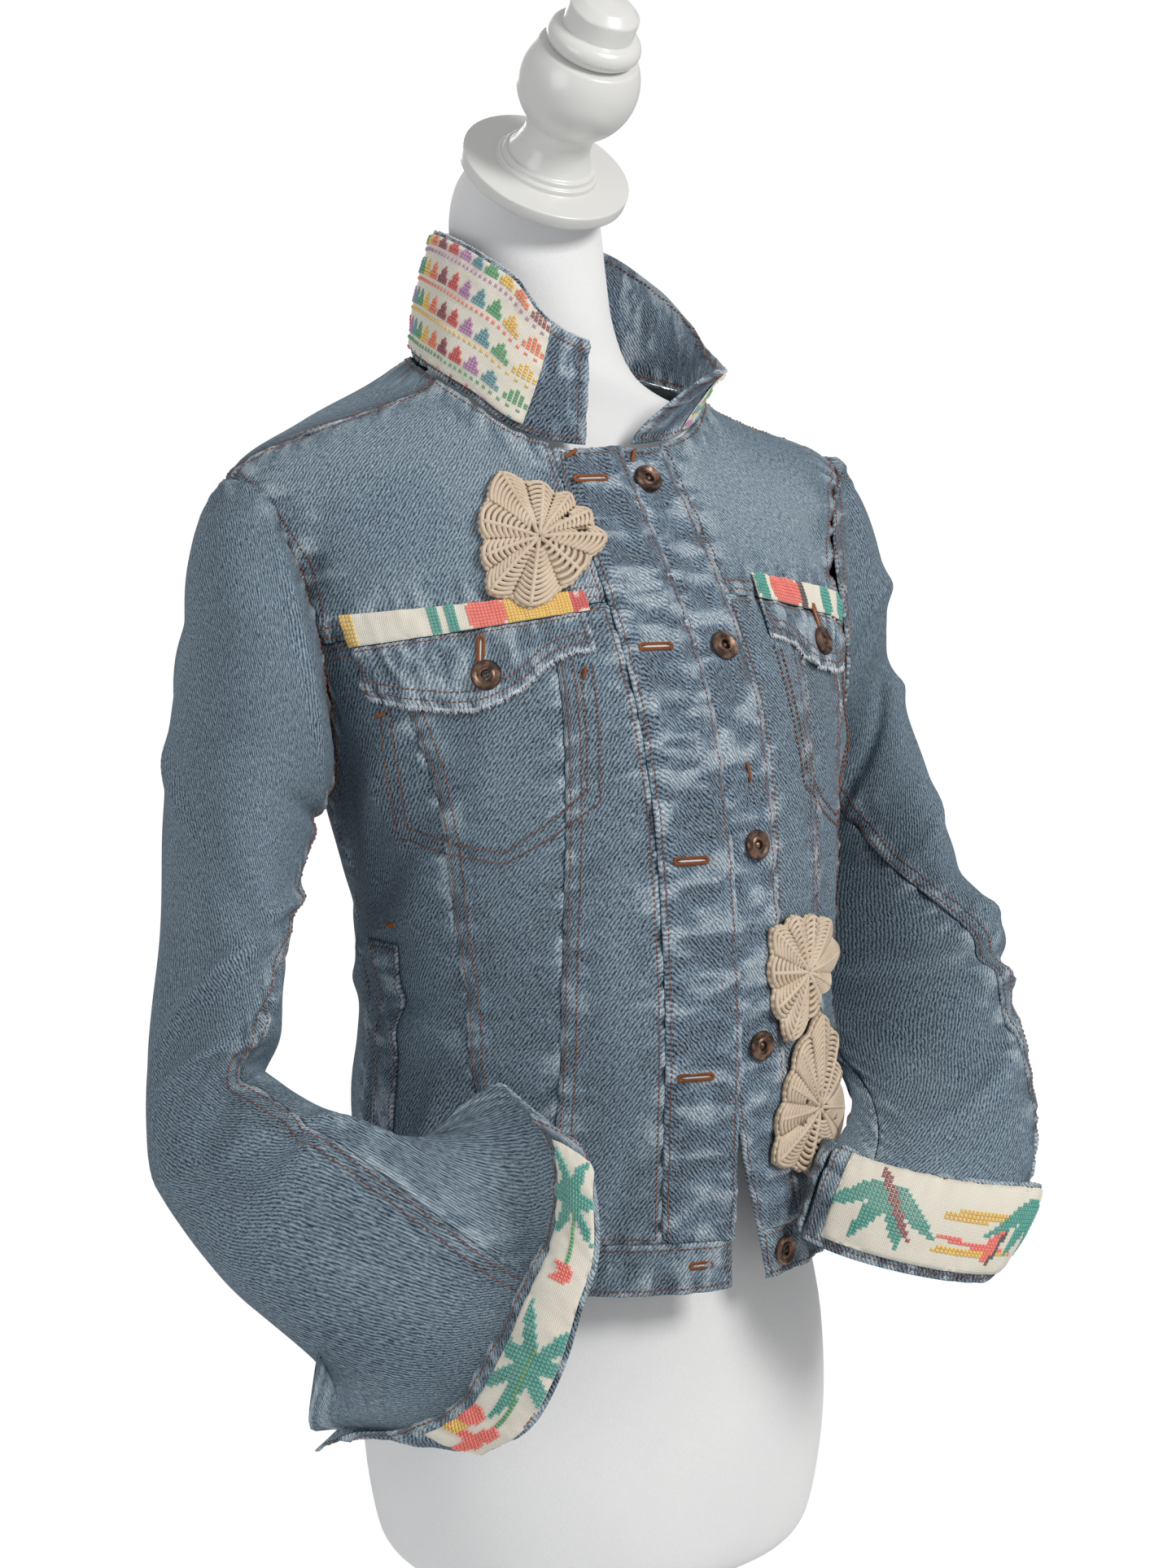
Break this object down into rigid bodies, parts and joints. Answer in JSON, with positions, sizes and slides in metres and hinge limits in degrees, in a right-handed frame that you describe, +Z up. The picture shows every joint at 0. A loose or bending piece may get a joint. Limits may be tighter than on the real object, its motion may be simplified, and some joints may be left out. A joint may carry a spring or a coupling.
{
  "type": "denim jacket on dress form",
  "caption": "Short denim jacket with a stand collar, crochet leaves and embroidered trim, worn open with bent sleeves on a limbless dress form with a turned finial and a round foot.",
  "frame": {"origin": "centre of the foot's underside, on the floor", "axes": "+Z up; the jacket's front faces -Y; the wearer's right is at -X"},
  "size_m": [0.5254, 0.4378, 1.6248],
  "materials": {
    "denim": "washed mid-indigo twill, whitish on raised edges, rust topstitching",
    "cream_cotton": "matte cream plain weave with coloured cross-stitch",
    "crochet_cotton": "matte beige cotton yarn",
    "aged_copper": "dark aged copper",
    "form_jersey": "matte white stretch jersey",
    "painted_wood": "satin white paint"
  },
  "bodies": {
    "root": {"back_center": "denim", "back_side_L": "denim", "back_side_R": "denim", "back_yoke": "denim", "collar": "denim", "collar_patch_L": "cream_cotton", "collar_patch_R": "cream_cotton", "crochet_leaf_lower": "crochet_cotton", "crochet_leaf_middle": "crochet_cotton", "crochet_leaf_shoulder": "crochet_cotton", "cuff_L": "denim", "cuff_R": "denim", "cuff_strip_L": "cream_cotton", "cuff_strip_R": "cream_cotton", "flap_button_L": "aged_copper", "flap_button_R": "aged_copper", "flap_strip_L": "cream_cotton", "flap_strip_R": "cream_cotton", "form_body": "form_jersey", "form_cap": "painted_wood", "form_foot": "painted_wood", "form_pole": "painted_wood", "front_button_1": "aged_copper", "front_button_2": "aged_copper", "front_button_3": "aged_copper", "front_button_4": "aged_copper", "front_button_5": "aged_copper", "front_center_L": "denim", "front_center_R": "denim", "front_middle_L": "denim", "front_middle_R": "denim", "front_side_L": "denim", "front_side_R": "denim", "front_yoke_L": "denim", "front_yoke_R": "denim", "placket_L": "denim", "placket_R": "denim", "pocket_flap_L": "denim", "pocket_flap_R": "denim", "sleeve_top_L": "denim", "sleeve_top_R": "denim", "sleeve_under_L": "denim", "sleeve_under_R": "denim", "waistband_L": "denim", "waistband_R": "denim", "waistband_back": "denim", "welt_L": "denim", "welt_R": "denim"}
  },
  "joints": []
}
